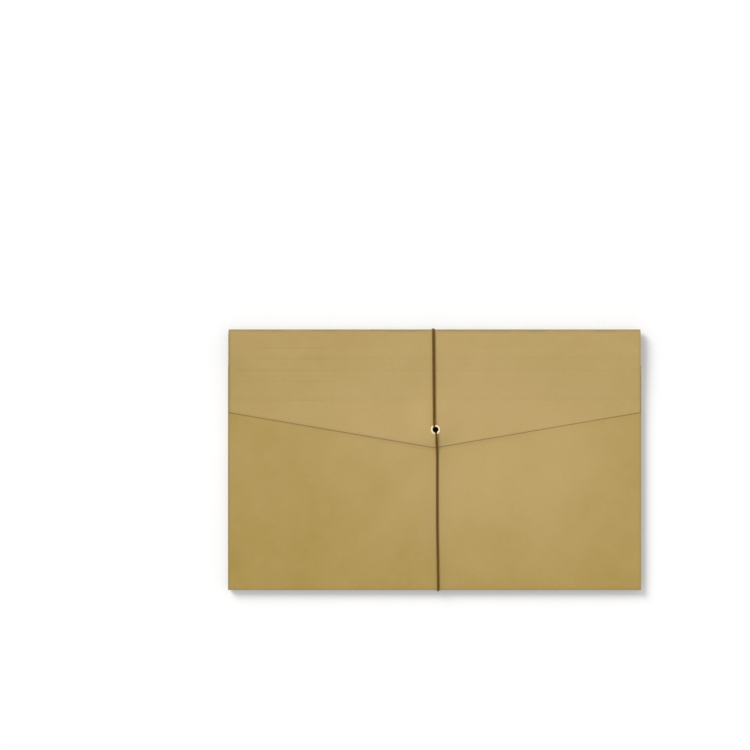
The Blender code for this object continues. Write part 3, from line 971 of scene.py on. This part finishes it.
def elastic(material):
    """The loop of elastic, in the lengths that part where the envelope moves."""
    lying = CORD_RADIUS * (1 - FLAT_LOWER * LYING) + LIFT
    strand_z = face_high.z + lying
    over_eyelet = eyelet_high.z + OVER_EYELET + CORD_RADIUS
    front_flat = LYING + (1 - LYING) * FRONT_PRESS
    front_lying = CORD_RADIUS * (1 - FRONT_THIN) * (1 - FLAT_LOWER * front_flat) + LIFT
    front_z = front_high.z + front_lying
    end_z = crimp_high.z + OVER_CRIMP
    ground = LINK_PIVOT.z

    def cord(name, route, nodes):
        return piece(name, braid(route), material, nodes, SMOOTH_CORD)

    near = EYELET.y + DIVE_LEAD
    side = strand_x(FOLD_AXIS.y)
    upper = [(side, FOLD_AXIS.y + NEST_LAP, strand_z, 0, NEST_THIN)]
    upper.append((side, FOLD_AXIS.y - STRAND_LAP, strand_z))
    for step in range(STRAND_STEPS + 1):
        y = SAG_TOP_Y + (near - SAG_TOP_Y) * step / STRAND_STEPS
        upper.append((strand_x(y), y, strand_z - flap_sag(strand_x(y), y)))
    upper += dive(EYELET + UPPER_END, 1, over_eyelet, end_z)
    made = cord("cord_upper_strand", upper, ["cord_spine", "cord_flap"])
    start = (0, CREASE.y + BEND_HALF, strand_z)
    end = (0, CREASE.y - BEND_HALF, strand_z)
    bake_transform(made, "flap_spine", "flap_face", start, end)

    tip_z = face_high.z + front_lying - flap_sag(0, face_low.y)
    stub = dive(EYELET + LOWER_END, -1, over_eyelet, end_z, FRONT_THIN)[::-1]
    level_y = EYELET.y - STUB_LEVEL
    stub.append((run_x(level_y), level_y, over_eyelet, 0, FRONT_THIN))
    for y, z in ((face_low.y, tip_z), (LANDING_Y, front_z), (STUB_END_Y, front_z)):
        stub.append((run_x(y), y, z, FRONT_PRESS, FRONT_THIN))
    made = cord("cord_under_eyelet", stub, ["cord_stub"])
    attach(made, "flap_face")

    run = []
    for y in (RUN_START_Y, STUB_END_Y + RUN_INSIDE):
        run.append((run_x(y), y, front_z, FRONT_PRESS, FRONT_THIN + INNER_THIN))
    for y in (STUB_END_Y - RUN_OUTSIDE, front_low.y + RUN_SHORT):
        run.append((run_x(y), y, front_z, FRONT_PRESS, FRONT_THIN))
    made = cord("cord_front_strand", run, ["cord_front_run"])
    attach(made, "cord_front")

    middle = (front_z + ground) / 2
    turn = hem_turn(front_high.z, front_z, middle - MIDDLE_LAP, FRONT_PRESS, FRONT_THIN)
    made = cord("cord_bottom_turn", turn, ["cord_bottom_front"])
    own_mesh(made)
    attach(made, "cord_front")

    shift = back_x(FOLD_AXIS.y) - side

    def back_side(degrees):
        return side + shift * eased((SHIFT_END - degrees) / SHIFT_SPAN)

    loop = hem_turn(back_low.z, ground, middle + MIDDLE_LAP)[::-1]
    loop += [(back_x(y), y, ground) for y in (LINK_TOP, CREASE.y)]
    loop += round_fold(-90, BACK_TURN_END, ground, strand_z, back_side)
    made = cord("cord_back_strand", loop, ["cord_back", "cord_top", "cord_bottom_back"])
    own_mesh(made)
    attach(made, "flap_fold")

    over = round_fold(OVER_TURN_START, 90, ground, strand_z, lambda degrees: side)
    made = cord("cord_over_fold", over, [])
    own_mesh(made)
    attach(made, "flap_spine")

    link = [(BOTTOM_X, y, ground, 0, INNER_THIN) for y in (LINK_PIVOT.y + LINK_START, LINK_TOP)]
    made = cord("cord_side_link", link, ["cord_bottom_link"])
    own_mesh(made)
    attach(made, "cord_link")


def studio():
    """White floor, one broad soft lamp from the upper left, and even light all round."""
    bm = bmesh.new()
    bmesh.ops.create_grid(bm, x_segments=FLOOR_CELLS, y_segments=FLOOR_CELLS, size=FLOOR_HALF)
    mesh = bpy.data.meshes.new("floor")
    bm.to_mesh(mesh)
    bm.free()
    mesh.materials.append(white_floor("white_floor"))
    floor = bpy.data.objects.new("floor", mesh)
    bpy.context.scene.collection.objects.link(floor)

    lamp = bpy.data.lights.new("soft_lamp", "SUN")
    lamp.energy = LAMP_POWER
    lamp.angle = math.radians(LAMP_SPREAD)
    shining = bpy.data.objects.new("soft_lamp", lamp)
    shining.rotation_mode = "QUATERNION"
    shining.rotation_quaternion = Vector(LAMP_DIRECTION).to_track_quat("-Z", "Y")
    bpy.context.scene.collection.objects.link(shining)

    world = bpy.data.worlds.new("studio")
    world.use_nodes = True
    bpy.context.scene.world = world
    sky = Wiring(world.node_tree)
    strength = sky.span(light_path(sky), 0, 1, SKY_LIGHT, SKY_SEEN)
    light = sky.node("ShaderNodeBackground", {}, {"Color": (1, 1, 1, 1), "Strength": strength})
    sky.node("ShaderNodeOutputWorld", {}, {0: light}, output=None)

    bpy.context.scene.view_settings.view_transform = "Standard"


def camera():
    """Straight down on the envelope, as the photograph is taken."""
    lens = bpy.data.cameras.new("camera")
    lens.sensor_width = SENSOR_WIDTH
    lens.lens = SENSOR_WIDTH * CAMERA_HEIGHT / FRAME_WIDTH
    lens.clip_end = CLIP_END
    made = bpy.data.objects.new("camera", lens)
    made.location = (*FRAME_MIDDLE, CAMERA_HEIGHT + front_high.z)
    bpy.context.scene.collection.objects.link(made)
    bpy.context.scene.camera = made


camera()
studio()
front_board = kraft("kraft_board", tint(190, 162, 103), tint(168, 142, 71))
flap_board = kraft("kraft_flap_board", tint(192, 164, 108), tint(179, 153, 92))
gusset_board = kraft("kraft_gusset_paper", tint(184, 155, 98), tint(172, 146, 84))
panels(front_board)
top_fold(flap_board)
flap(flap_board)
for gusset_side in ("left", "right", "bottom"):
    gusset(gusset_side, gusset_board)
eyelet(bright_nickel("bright_nickel", tint(246, 228, 192), 0.12))
elastic(braided_elastic("braided_elastic"))
